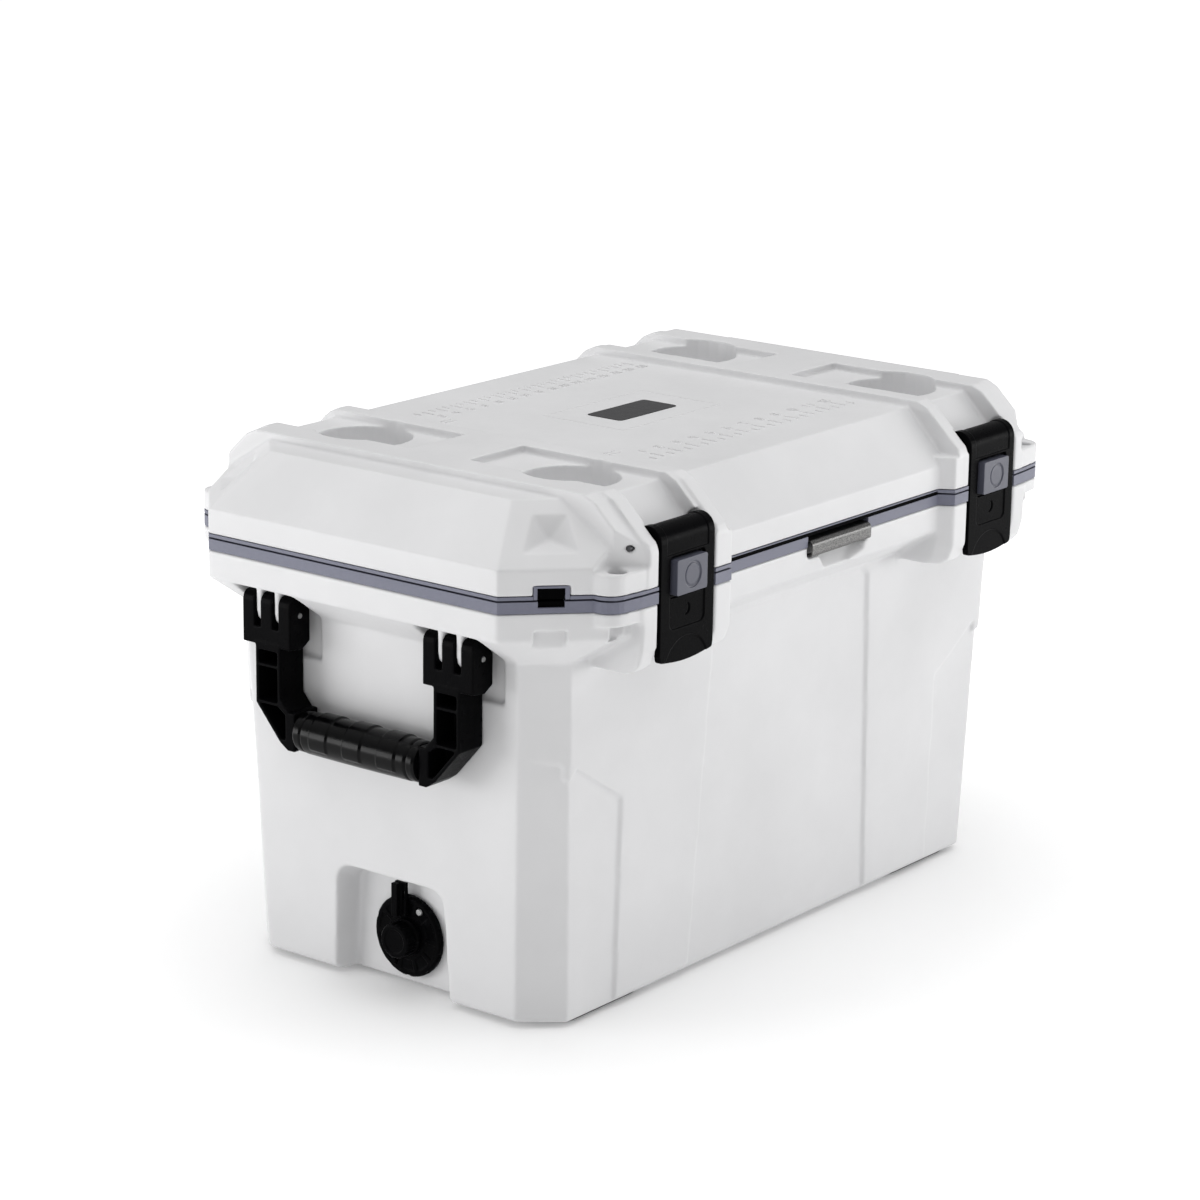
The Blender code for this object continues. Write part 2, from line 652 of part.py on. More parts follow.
def handle_frame_outline(side_y):
    """One arm and its mitred lower corner, seen from the end of the chest."""
    points = [(0.117, 0.3120), (0.117, 0.2560), (0.0890, 0.2240), (0.0800, 0.2180),
              (0.0715, 0.2180), (0.0715, 0.2530), (0.0780, 0.2530), (0.0880, 0.2640),
              (0.0880, 0.3120)]
    return [(side_y * y, z) for y, z in points]


def channel_cells(side_x, side_y):
    """The open cells on the outer face of an arm, between its cross webs."""
    cells = [
        [(0.1135, 0.3050), (0.1135, 0.2930), (0.0915, 0.2930), (0.0915, 0.3050)],
        [(0.1135, 0.2900), (0.1135, 0.2590), (0.0915, 0.2590), (0.0915, 0.2900)],
        [(0.1125, 0.2560), (0.0875, 0.2275), (0.0825, 0.2275), (0.0825, 0.2500),
         (0.0915, 0.2560)]]
    blocks = []
    for cell in cells:
        outline = [(side_y * y, z) for y, z in cell]
        blocks.append(slab("channel_cell", outline, "X", side_x * 0.3620, side_x * 0.4000))
    return blocks


def make_handles():
    px, pz = HANDLE_PIVOT
    for side_x, name in ((-1, "left"), (1, "right")):
        hub = bpy.data.objects.new("handle_axis_" + name, None)
        hub.location = (side_x * px, 0.0, pz)
        chest.objects.link(hub)
        frame = rod("handle_frame_" + name, GRIP_BORE_R - CLEAR, (side_x * GRIP_X, -0.080, GRIP_Z),
                    (side_x * GRIP_X, 0.080, GRIP_Z), 20, chest)
        for side_y in (-1, 1):
            fuse(frame, slab("handle_arm", handle_frame_outline(side_y), "X",
                             side_x * 0.3553, side_x * 0.3862))
            cut(frame, *channel_cells(side_x, side_y))
            middle = side_y * CLEVIS_Y
            half = 1.5 * FINGER + SLOT
            fuse(frame, slab("clevis", [(side_x * x, z) for x, z in clevis_outline()], "Y",
                             middle - half, middle + half))
            for centre in lug_centres(middle):
                slot = box("lug_slot", (-0.42, centre - SLOT / 2, 0.3255),
                           (0.42, centre + SLOT / 2, 0.38))
                cut(frame, slot)
            cut(frame, rod("finger_bore", PIN_BORE_R, (side_x * px, middle - 0.04, pz),
                           (side_x * px, middle + 0.04, pz), 12))
        make_grip(side_x, name, hub)
        make_handle_pins(side_x, name)
        dress(frame, BLACK)
        attach(frame, hub)


def attach(piece, hub):
    """Parent a piece to the empty on its joint axis without moving it."""
    piece.parent = hub
    piece.matrix_parent_inverse = Matrix.Translation(-hub.location)


def make_grip(side_x, name, hub):
    """A soft sleeve with collars at both ends and three finger swells."""
    profile = [(-GRIP_HALF, 0.0175), (-0.0690, 0.0185), (-0.0620, 0.0185), (-0.0610, 0.0172)]
    swells, steps = 3, 4
    for swell in range(swells):
        for step in range(steps):
            share = (swell + (step + 0.5) / steps) / swells
            radius = 0.0188 + (GRIP_R - 0.0188) * math.sin(math.pi * (step + 0.5) / steps)
            profile.append((-0.0595 + 0.119 * share, radius))
    profile += [(-y, r) for y, r in reversed(profile[:4])]
    loops = []
    segments = 18
    for y, radius in profile:
        ring = []
        for i in range(segments):
            angle = 2 * math.pi * i / segments
            ring.append((side_x * GRIP_X + radius * math.cos(angle), y,
                         GRIP_Z + radius * math.sin(angle)))
        loops.append(ring)
    grip = loft("handle_grip_" + name, loops, chest)
    cut(grip, rod("grip_bore", GRIP_BORE_R, (side_x * GRIP_X, -0.08, GRIP_Z),
                  (side_x * GRIP_X, 0.08, GRIP_Z), 20))
    dress(grip, SOFT)
    attach(grip, hub)


def make_handle_pins(side_x, name):
    px, pz = HANDLE_PIVOT
    for side_y, place in ((-1, "front"), (1, "rear")):
        middle = side_y * CLEVIS_Y
        pin = rod("handle_pin_%s_%s" % (name, place), PIN_R, (side_x * px, middle - 0.028, pz),
                  (side_x * px, middle + 0.028, pz), 12, chest)
        dress(pin, STEEL, True)


# ---------------------------------------------------------------- lid
def rib_profile(proud):
    """Side view of a lid rib from its front foot, up the slope, along the top and down again.

    proud is how far it stands off the lid's own slope."""
    low = LID_LOW_Z
    front = [(-0.2395 - proud, low), (-0.2395 - proud, 0.4330), (-0.2370 - proud, 0.4400),
             (-0.2010 - proud, 0.4740), (-0.1900 - proud, RIB_TOP_Z)]
    rear = [(0.1840 + proud, RIB_TOP_Z), (0.1950 + proud, 0.4740),
            (0.2310 + proud, 0.4400), (0.2335 + proud, 0.4330), (0.2335 + proud, low)]
    return front + rear


def cup(name, side_x, cup_y, radius, floor_z, top_z):
    """A drinks holder: straight wall, slightly domed corner at the floor."""
    x = side_x * CUP_X
    loops = []
    for z, r in ((floor_z, radius - 0.005), (floor_z + 0.004, radius - 0.001),
                 (top_z, radius + 0.001)):
        loops.append([(*p, z) for p in arc((x, cup_y), r, 0, 345, 23)])
    return loft(name, loops)


def lid_slab(name, half_low, half_top, low, crease, top, inset=0.0, group=None):
    loops = [octagon(half_low, low, inset), octagon(half_low, crease, inset),
             octagon(half_top, top, inset)]
    return loft(name, loops, group)


def corner_dimple(side_x, side_y, grow=0.0):
    """A four-sided dimple sunk into the sloping facet at a lid corner; grow thickens it."""
    rise = 47.0 / 55.3
    def on_facet(along, up):
        return corner_point(side_x, side_y, along, up / rise, LID_CREASE_Z + up)
    mouth = [on_facet(0.0655, 0.0375), on_facet(0.0320, 0.0375),
             on_facet(0.0175, 0.0075), on_facet(0.0745, 0.0075)]
    x, y, z = on_facet(0.0475, 0.0245)
    normal = Vector((side_x * 0.45, side_y * 0.47, 0.76)).normalized()
    apex = Vector((x, y, z)) - normal * (0.011 + 1.3 * grow)
    lifted = [Vector(point) + normal * 0.004 for point in mouth]
    spread = []
    middle = sum(lifted, Vector()) / 4
    for point in lifted:
        spread.append(middle + (point - middle) * (1.16 + 60.0 * grow))
    return hull("corner_dimple", spread + [apex])


def make_lid_moulding(name, region_low, region_high):
    """The white lid, or the share of it between two corners of a box."""
    shell = lid_slab(name, LIP_HALF, LID_TOP_HALF, LID_LOW_Z, LID_CREASE_Z, LID_TOP_Z,
                     0.0, chest)
    for sides in CORNERS:
        side_x, side_y = sides
        cut(shell, corner_dimple(*sides))
        fuse(shell, slab("lid_ear", ear_outline(*sides), "Z", LID_LOW_Z, EAR_TOP_Z))
    for side_x in (-1, 1):
        for low, high, proud in ((0.292, OUTER_RIB[1], 0.0), (0.277, 0.294, 0.005),
                                 (INNER_RIB[0], 0.197, 0.005), (0.190, INNER_RIB[1], 0.0015)):
            outline = [p for p in rib_profile(proud)]
            fuse(shell, slab("lid_rib", outline, "X", side_x * low, side_x * high))
        bridge = [side_x * INNER_RIB[1] - side_x * 0.01, side_x * OUTER_RIB[0] + side_x * 0.01]
        fuse(shell, box("lid_bridge", (min(bridge), BRIDGE_Y[0], 0.46),
                        (max(bridge), BRIDGE_Y[1], RIB_TOP_Z)))
        fuse(shell, slab("lid_front_cheek", inner_cheek(side_x, -1), "Z", LID_LOW_Z, 0.4330))
        fuse(shell, slab("lid_rear_cheek", inner_cheek(side_x, 1), "Z", LID_LOW_Z, 0.4330))
    for sides in CORNERS:
        side_x, side_y = sides
        drop = 0.0 if side_y < 0 else HOUSING_FRONT_Y - HOUSING_REAR_Y
        plan = [(0.3167, 0.2190 - drop), (0.2920, 0.2400 - drop), (0.2870, 0.2700),
                (0.3500, 0.2700), (0.3500, 0.2190 - drop)]
        cut(shell, slab("ear_relief", mirrored(plan, *sides), "Z", EAR_TOP_Z, 0.50))
        cut(shell, tie_hole("lid_hole", side_x, side_y, 0.39, 0.43))
        cut(shell, corner_block("lid_slot", sides, (0.0300, 0.0610), (-0.02, 0.009),
                                (0.39, 0.4113)))
        cut(shell, bay_box("lid_bay", side_x, side_y, 0.39, 0.4380 if side_y < 0 else 0.4460))
    axis_y, axis_z = LATCH_AXIS
    for side_x in (-1, 1):
        low, high = side_x * (BAY_X - BAY_HALF), side_x * (BAY_X + BAY_HALF)
        cut(shell, rod("head_clearance", LATCH_HEAD_R + 0.0020, (low, axis_y, axis_z),
                       (high, axis_y, axis_z), 32))
        cut(shell, rod("latch_pin_bore", PIN_BORE_R, (side_x * 0.1845, axis_y, axis_z),
                       (side_x * 0.3200, axis_y, axis_z), 12))
    cut(shell, lid_space("lid_space", LID_LOW_Z - 0.01))
    for side_x in (-1, 1):
        for cup_y in CUP_Y:
            cut(shell, cup("cup_hollow", side_x, cup_y, CUP_R, CUP_FLOOR_Z, 0.49))
    cut(shell, badge_plate_solid("badge_seat", 0.0004, 0.4710, 0.48))
    keep_region(shell, region_low, region_high)
    dress(shell, WHITE)


def make_lid_shell():
    """The lid in a middle and four corners, parted beside the inner ribs and along the bridges."""
    gap = CLEAR / 2
    make_lid_moulding("lid_middle", (-LID_PART_X + gap, -0.5, 0.3), (LID_PART_X - gap, 0.5, 0.6))
    for side_x, across in ((-1, "left"), (1, "right")):
        xs = sorted((side_x * (LID_PART_X + gap), side_x * 0.5))
        make_lid_moulding("lid_%s_front" % across, (xs[0], -0.5, 0.3), (xs[1], LID_PART_Y - gap, 0.6))
        make_lid_moulding("lid_%s_rear" % across, (xs[0], LID_PART_Y + gap, 0.3), (xs[1], 0.5, 0.6))


def lid_space(name, low, gap=0.0):
    """Hollow of the lid shell; gap draws it in for the foam that fills it."""
    space = loft(name, [octagon(LIP_HALF, low, 0.0300 + gap),
                        octagon(LIP_HALF, 0.418, 0.0300 + gap),
                        octagon(LID_TOP_HALF, LID_TOP_Z - 0.006 - gap, 0.0140 + gap)])
    for sides in CORNERS:
        cut(space, corner_dimple(*sides, 0.003 + gap))
    for side_x in (-1, 1):
        for cup_y in CUP_Y:
            cut(space, cup(name + "_cup", side_x, cup_y, CUP_R + CUP_WALL + gap,
                           CUP_FLOOR_Z - CUP_WALL - gap, 0.49))
    return space


def badge_plate_solid(name, grow, low, high, group=None):
    outline = []
    for sx, sy, start in ((1, 1, 0), (-1, 1, 90), (-1, -1, 180), (1, -1, 270)):
        outline += arc((sx * 0.0400, sy * 0.0167), 0.0033 + grow, start, start + 90, 3)
    return slab(name, outline, "Z", low, high, group)


def make_lid_liner():
    liner = rim_solid("lid_liner", LID_RIM_Z, LID_LOW_Z - CLEAR, chest)
    fuse(liner, loft("liner_plug", [octagon(LINER_MOUTH, 0.3720, 0.0090),
                                    octagon(LINER_MOUTH, 0.3760, 0.0062),
                                    octagon(LINER_MOUTH, 0.4010, 0.0054)]))
    cut(liner, loft("plug_hollow", [octagon(LINER_MOUTH, 0.3750, 0.0090),
                                    octagon(LINER_MOUTH, 0.4100, 0.0090)]))
    for sides in CORNERS:
        cut(liner, corner_block("thin_rim_slot", sides, (0.0300, 0.0610), (-0.02, 0.010),
                                (0.39, 0.41)))
    dress(liner, GREY)


def make_lid_foam():
    foam = lid_space("lid_foam", LID_LOW_Z + FOAM_GAP, FOAM_GAP)
    cutters.objects.unlink(foam)
    chest.objects.link(foam)
    fuse(foam, loft("plug_foam", [octagon(LINER_MOUTH, 0.3755, 0.0095),
                                  octagon(LINER_MOUTH, 0.4100, 0.0095)]))
    dress(foam, FOAM)


def make_gasket():
    ring = loft("lid_gasket", [octagon(LINER_MOUTH, 0.3860, 0.0026),
                               octagon(LINER_MOUTH, 0.3900, 0.0018),
                               octagon(LINER_MOUTH, 0.3940, 0.0026)], chest)
    cut(ring, loft("gasket_hollow", [octagon(LINER_MOUTH, 0.3800, 0.0048),
                                     octagon(LINER_MOUTH, 0.4000, 0.0048)]))
    dress(ring, SOFT)


def make_badge():
    dress(badge_plate_solid("badge_plate", 0.0, 0.4713, 0.4724, chest), BADGE)


# ---------------------------------------------------------------- latches
def latch_side_profile():
    """Front plate hanging from a round head, seen from the side."""
    y, z = LATCH_AXIS
    front, back = y - LATCH_HEAD_R, y - LATCH_HEAD_R + LATCH_PLATE
    head = arc((y, z), LATCH_HEAD_R, 180, -40, 16)
    return ([(front, LATCH_LOW_Z)] + head
            + [(back + 0.004, z - 0.0150), (back, z - 0.0220), (back, LATCH_LOW_Z)])


def rounded_rectangle(x, z, half_x, half_z, radius, steps=4):
    outline = []
    for sx, sz, start in ((1, 1, 0), (-1, 1, 90), (-1, -1, 180), (1, -1, 270)):
        centre = (x + sx * (half_x - radius), z + sz * (half_z - radius))
        outline += arc(centre, radius, start, start + 90, steps)
    return outline


def make_latches():
    y, z = LATCH_AXIS
    front = y - LATCH_HEAD_R
    back = front + LATCH_PLATE
    for side, name in ((-1, "left"), (1, "right")):
        x = side * BAY_X
        hub = bpy.data.objects.new("latch_axis_" + name, None)
        hub.location = (x, y, z)
        chest.objects.link(hub)
        body = slab("latch_body_" + name, latch_side_profile(), "X", x - LATCH_HALF,
                    x + LATCH_HALF, chest)
        for edge in (-1, 1):
            outer = x + edge * LATCH_HALF
            inner = x + edge * (LATCH_HALF - 0.0032)
            fuse(body, box("latch_flange", (min(outer, inner), back - 0.001, 0.3440),
                           (max(outer, inner), -0.2265, 0.4230)))
        fuse(body, box("latch_hook", (x - 0.0300, back - 0.001, 0.3440),
                       (x + 0.0300, -0.2245, 0.3490)))
        outline = rounded_rectangle(x, 0.400, LATCH_HALF, 0.400 - LATCH_LOW_Z, 0.009)
        trim = slab("latch_trim", outline, "Y", front - 0.01, front + 0.06)
        boolean(body, "INTERSECT", [trim])
        seat = rounded_rectangle(x, BUTTON_Z, BUTTON_HALF[0] + 0.0030, BUTTON_HALF[1] + 0.0030,
                                 0.004)
        cut(body, slab("button_seat", seat, "Y", front - 0.01, front + 0.0030))
        cut(body, box("button_hole", (x - BUTTON_HALF[0] - 0.0004, front - 0.01,
                                      BUTTON_Z - BUTTON_HALF[1] - 0.0004),
                      (x + BUTTON_HALF[0] + 0.0004, back + 0.004,
                       BUTTON_Z + BUTTON_HALF[1] + 0.0004)))
        cut(body, rod("latch_bore", PIN_BORE_R, (x - 0.05, y, z), (x + 0.05, y, z), 12))
        button = slab("latch_button_" + name,
                      rounded_rectangle(x, BUTTON_Z, *BUTTON_HALF, 0.002, 2), "Y",
                      BUTTON_FRONT_Y, back + 0.002, chest)
        fuse(button, box("button_flange", (x - BUTTON_HALF[0] - 0.0040, back + CLEAR,
                                           BUTTON_Z - BUTTON_HALF[1] + 0.003),
                         (x + BUTTON_HALF[0] + 0.0040, back + 0.0030,
                          BUTTON_Z + BUTTON_HALF[1] - 0.012)))
        pin = rod("latch_pin_" + name, PIN_R, (side * 0.1850, y, z), (side * 0.3035, y, z), 12,
                  chest)
        dress(body, BLACK)
        dress(button, GREY)
        dress(pin, STEEL, True)
        attach(body, hub)
        attach(button, hub)


make_outer_shell()
make_inner_liner()
make_rim_band()
make_foam_core()
make_feet()
make_bottle_opener()
make_latch_keepers()
make_hinges()
make_drain()
make_handles()
make_lid_shell()
make_lid_liner()
make_lid_foam()
make_gasket()
make_badge()
make_latches()
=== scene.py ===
"""Looks of a cooler chest: softened mouldings, latches, handles, drain, rulers, and a studio."""
import json
import math

import bmesh
import bpy
from mathutils import Matrix, Vector


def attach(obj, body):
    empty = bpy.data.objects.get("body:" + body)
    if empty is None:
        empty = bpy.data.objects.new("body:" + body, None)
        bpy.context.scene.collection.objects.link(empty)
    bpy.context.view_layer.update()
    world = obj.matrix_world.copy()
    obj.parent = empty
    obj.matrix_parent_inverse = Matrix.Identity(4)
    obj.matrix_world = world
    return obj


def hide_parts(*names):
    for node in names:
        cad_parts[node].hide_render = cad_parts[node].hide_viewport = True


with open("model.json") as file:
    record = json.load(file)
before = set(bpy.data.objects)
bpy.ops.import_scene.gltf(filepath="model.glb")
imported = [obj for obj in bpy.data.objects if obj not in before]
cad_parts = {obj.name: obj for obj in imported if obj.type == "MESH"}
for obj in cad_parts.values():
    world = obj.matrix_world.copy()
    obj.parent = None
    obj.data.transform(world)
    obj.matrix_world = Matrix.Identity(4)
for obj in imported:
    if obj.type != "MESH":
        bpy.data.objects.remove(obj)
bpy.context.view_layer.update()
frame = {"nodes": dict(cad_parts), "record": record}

BODY_OF = {}
for body_name, members in frame["record"]["behaviour"]["bodies"].items():
    for member in members:
        BODY_OF[member] = body_name

# Places on the chest, in metres: x along the front, y from the front to the rear, z up.
LIP_Z = 0.3875                          # top of the white tub, under the grey rim band
RIM_X, RIM_Y = 0.394, 0.231             # the rim's flat faces
RIM_CUT_X, RIM_CUT_Y = 0.3244, 0.164    # where its slanting corners begin
RIM_TOP_Z = 0.3977                      # top of the rim band
LID_RIM_Z = 0.3993                      # underside of the lid's thin grey rim
SLOT_TOP_Z = 0.4113                     # top of the slots in the slanting corners
SLOT_LOW_Z = 0.3927                     # floor of the slots
OPENER_NOTCH = (-0.0425, 0.0525, -0.2215)   # ends of the opener's notch in x, and its back
BAY_X = 0.239                           # middle of a latch bay
LATCH_Y, LATCH_Z = -0.2300, 0.4375      # latch pin
LATCH_FRONT_Y = -0.2445                 # flat front of a latch
LATCH_HEAD_R = 0.0145                   # round head of a latch about its pin
BUTTON_Z = 0.4063
GRIP_X, GRIP_Z = 0.3735, 0.2355         # middle of a hanging handle's grip
DRAIN_Y, DRAIN_Z = -0.009, 0.050        # axis of the drain
DRAIN_FACE_X = -0.3288                  # face of the drain flange
LID_TOP_Z = 0.472                       # flat middle of the lid
INCH = 0.0254

# The tub and lid mouldings are parted along these planes into several nodes.
TUB_NODES = ("outer_shell", "collar_left", "collar_right")
LID_NODES = ("lid_middle", "lid_left_front", "lid_left_rear", "lid_right_front", "lid_right_rear")
TUB_PARTINGS = ((2, 0.3345), (0, 0.0))                          # (axis, place)
LID_PARTINGS = ((0, -0.1795), (0, 0.1795), (1, -0.0015))
SEAM = 0.0003                           # a vertex this near a parting plane lies on it
OVERLAP = 0.0009                        # how far it is stretched across the plane


def level(full):
    return full


# ---------------------------------------------------------------- materials
class Nodes:
    """Small wrapper that builds a Principled material."""

    def __init__(self, name):
        self.material = bpy.data.materials.new(name)
        self.material.use_nodes = True
        self.tree = self.material.node_tree
        self.shader = self.tree.nodes["Principled BSDF"]
        self.coords = self.add("ShaderNodeTexCoord").outputs["Object"]

    def add(self, kind, **settings):
        node = self.tree.nodes.new(kind)
        for key, value in settings.items():
            if key in node.inputs:
                node.inputs[key].default_value = value
            else:
                setattr(node, key, value)
        return node

    def link(self, source, target):
        self.tree.links.new(source, target)

    def stretched(self, scale):
        mapping = self.add("ShaderNodeMapping")
        mapping.inputs["Scale"].default_value = scale
        self.link(self.coords, mapping.inputs["Vector"])
        return mapping.outputs["Vector"]

    def noise(self, scale, detail=3.0, rough=0.55, vector=None):
        node = self.add("ShaderNodeTexNoise", Scale=scale, Detail=detail, Roughness=rough)
        self.link(vector or self.coords, node.inputs["Vector"])
        return node.outputs["Fac"]

    def ranged(self, value, low, high, to_low, to_high):
        node = self.add("ShaderNodeMapRange")
        for key, number in zip(("From Min", "From Max", "To Min", "To Max"),
                               (low, high, to_low, to_high)):
            node.inputs[key].default_value = number
        self.link(value, node.inputs["Value"])
        return node.outputs["Result"]

    def mixed(self, factor, first, second):
        node = self.add("ShaderNodeMix", data_type="RGBA")
        for socket, value in ((node.inputs[6], first), (node.inputs[7], second)):
            if isinstance(value, tuple):
                socket.default_value = (*value, 1.0)
            else:
                self.link(value, socket)
        self.link(factor, node.inputs[0])
        return node.outputs[2]

    def bump(self, height, strength, distance, below=None):
        node = self.add("ShaderNodeBump", Strength=strength, Distance=distance)
        self.link(height, node.inputs["Height"])
        if below:
            self.link(below, node.inputs["Normal"])
        return node.outputs["Normal"]


def moulded(name, colour, roughness, grain=1400.0, depth=0.10, edge_wear_and_highlight=None, edge_wear_and_highlight_share=0.35, shine=0.5):
    """Moulded plastic: fine stipple, uneven gloss, and convex edges tinted to an edge colour, which is
    darker rubbed wear on the white plastic, a painted highlight on the black plastic and the button,
    and simply lighter edges on the other dark plastics.
    """
    n = Nodes(name)
    patch = n.noise(7.0, 4.0)
    fine = n.noise(160.0, 5.0, 0.65)
    tint = tuple(c * 0.93 for c in colour)
    base = n.mixed(n.ranged(patch, 0.35, 0.70, 0.0, 1.0), tint, colour)
    # Edge tint: where it darkens the white plastic it is wear; where it lightens the black plastic and
    # the button it is a painted highlight.
    if edge_wear_and_highlight:
        edge = n.add("ShaderNodeNewGeometry").outputs["Pointiness"]
        edge_wear_and_highlight_mask = n.ranged(edge, 0.52, 0.60, 0.0, edge_wear_and_highlight_share)
        broken = n.add("ShaderNodeMath", operation="MULTIPLY")
        n.link(edge_wear_and_highlight_mask, broken.inputs[0])
        n.link(n.ranged(fine, 0.40, 0.62, 0.25, 1.0), broken.inputs[1])
        base = n.mixed(broken.outputs[0], base, edge_wear_and_highlight)
    n.link(base, n.shader.inputs["Base Color"])
    n.shader.inputs["Specular IOR Level"].default_value = shine
    gloss = n.ranged(fine, 0.30, 0.70, roughness - 0.06, roughness + 0.07)
    n.link(gloss, n.shader.inputs["Roughness"])
    stipple = n.bump(n.noise(grain, 2.0), depth, 0.0004)
    n.link(n.bump(n.noise(45.0, 2.0), 0.04, 0.002, stipple), n.shader.inputs["Normal"])
    return n.material


def brushed(name, colour, roughness, grain, darkest=0.72):
    """Steel with fine scratches; grain sets how fine they are along X, Y and Z."""
    n = Nodes(name)
    lines = n.noise(1.0, 6.0, 0.7, n.stretched(grain))
    dark = tuple(c * darkest for c in colour)
    n.link(n.mixed(n.ranged(lines, 0.38, 0.62, 0.0, 1.0), dark, colour),
           n.shader.inputs["Base Color"])
    n.shader.inputs["Metallic"].default_value = 1.0
    n.link(n.ranged(lines, 0.3, 0.7, roughness - 0.08, roughness + 0.12),
           n.shader.inputs["Roughness"])
    n.link(n.bump(lines, 0.25, 0.0003), n.shader.inputs["Normal"])
    return n.material


WHITE = moulded("white_moulded", (0.72, 0.72, 0.728), 0.42, 1500.0, 0.08,
                (0.66, 0.655, 0.64), 0.25, 0.4)
GREY = moulded("grey_moulded", (0.165, 0.170, 0.222), 0.40, 1800.0, 0.08,
               (0.24, 0.245, 0.30), 0.5, 0.3)
# The black plastic's lighter edge colour is a painted highlight along its edges.
BLACK = moulded("black_moulded", (0.0022, 0.0022, 0.0026), 0.30, 950.0, 0.40,
                (0.026, 0.026, 0.028), 0.30, 0.018)
RUBBER = moulded("black_rubber", (0.0012, 0.0012, 0.0014), 0.20, 1100.0, 0.10,
                 (0.02, 0.02, 0.021), 0.35, 0.11)
PLATE = moulded("badge_face", (0.045, 0.045, 0.047), 0.42, 2500.0, 0.12,
                (0.09, 0.09, 0.09), 0.5, 0.2)
# The button's much lighter edge colour is a painted highlight on its bevels.
BUTTON = moulded("button_grey", (0.080, 0.083, 0.111), 0.34, 1800.0, 0.08,
                 (0.26, 0.265, 0.31), 0.6, 0.4)
# Flat black used only as painted shade: blocks standing in for the shade in slots, gaps and pockets.
PAINTED_SHADE = moulded("painted_shade_black", (0.0012, 0.0012, 0.0014), 0.7, 900.0, 0.3, None, 0.0, 0.02)
FOAM = moulded("foam", (0.80, 0.70, 0.42), 0.85, 500.0, 0.5)
STEEL = brushed("brushed_steel", (0.20, 0.198, 0.195), 0.40, (700.0, 1100.0, 1100.0), 0.28)
PIN_STEEL = brushed("turned_steel", (0.40, 0.40, 0.40), 0.30, (600.0, 600.0, 40.0))
DARK_STEEL = brushed("dark_steel", (0.09, 0.09, 0.095), 0.34, (500.0, 500.0, 500.0))


# ---------------------------------------------------------------- mesh helpers
def new_piece(name, bm, body, material, smooth=True):
    bmesh.ops.recalc_face_normals(bm, faces=bm.faces)
    mesh = bpy.data.meshes.new(name)
    bm.to_mesh(mesh)
    bm.free()
    piece = bpy.data.objects.new(name, mesh)
    bpy.context.scene.collection.objects.link(piece)
    mesh.materials.append(material)
    if smooth:
        mesh.shade_smooth()
        mesh.set_sharp_from_angle(angle=math.radians(38))
    if body:
        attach(piece, body)
    return piece


def copied(node_name, new_name):
    """A copy of a CAD node's mesh in the row frame, with its seams welded."""
    source = frame["nodes"][node_name]
    bm = bmesh.new()
    bm.from_mesh(source.data)
    bm.transform(source.matrix_world)
    bmesh.ops.remove_doubles(bm, verts=bm.verts, dist=1e-5)
    bmesh.ops.recalc_face_normals(bm, faces=bm.faces)
    mesh = bpy.data.meshes.new(new_name)
    bm.to_mesh(mesh)
    bm.free()
    piece = bpy.data.objects.new(new_name, mesh)
    bpy.context.scene.collection.objects.link(piece)
    return piece


def settle(piece):
    """Turns the modifiers into plain mesh."""
    evaluated = piece.evaluated_get(bpy.context.evaluated_depsgraph_get())
    mesh = bpy.data.meshes.new_from_object(evaluated)
    piece.modifiers.clear()
    piece.data = mesh
    mesh.name = piece.name


def soften(piece, voxel, passes, keep, material, body):
    """Rounds every edge as a mould would, by remeshing and smoothing; keep is the share of the
    faces that stays."""
    remesh = piece.modifiers.new("remesh", "REMESH")
    remesh.mode = "VOXEL"
    remesh.voxel_size = voxel
    smooth = piece.modifiers.new("smooth", "SMOOTH")
    smooth.factor = 0.5
    smooth.iterations = passes
    thin = piece.modifiers.new("decimate", "DECIMATE")
    thin.ratio = keep
    settle(piece)
    piece.data.materials.clear()
    piece.data.materials.append(material)
    piece.data.shade_smooth()
    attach(piece, body)
    return piece


def soft_copy(node_name, new_name, voxel, passes, keep, material):
    """A softened piece in place of one CAD node."""
    piece = soften(copied(node_name, new_name), voxel, passes, keep, material, BODY_OF[node_name])
    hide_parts(node_name)
    return piece


def soft_whole(node_names, new_name, partings, voxel, passes, keep, material):
    """One moulding in place of the nodes that it is parted into: each is stretched a little across
    its parting planes, so that the remesh closes the seams."""
    whole = bmesh.new()
    for node_name in node_names:
        part = copied(node_name, "stretched_" + node_name)
        mesh = part.data
        middle = sum((vertex.co for vertex in mesh.vertices), Vector()) / len(mesh.vertices)
        for vertex in mesh.vertices:
            for axis, place in partings:
                if abs(vertex.co[axis] - place) < SEAM:
                    vertex.co[axis] += math.copysign(OVERLAP, place - middle[axis])
        whole.from_mesh(mesh)
        bpy.data.objects.remove(part, do_unlink=True)
    mesh = bpy.data.meshes.new(new_name)
    whole.to_mesh(mesh)
    whole.free()
    piece = bpy.data.objects.new(new_name, mesh)
    bpy.context.scene.collection.objects.link(piece)
    soften(piece, voxel, passes, keep, material, BODY_OF[node_names[0]])
    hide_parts(*node_names)
    return piece


def paint(node_name, material, bevel=0.0):
    """A CAD node kept as it is, with a material and softened edges."""
    node = frame["nodes"][node_name]
    node.data.materials.clear()
    node.data.materials.append(material)
    if bevel:
        weld = node.modifiers.new("weld", "WELD")
        weld.merge_threshold = 1e-5
        step = node.modifiers.new("bevel", "BEVEL")
        step.width = bevel
        step.segments = 2
        step.limit_method = "ANGLE"
        step.angle_limit = math.radians(32)
        step.use_clamp_overlap = True
        step.harden_normals = True


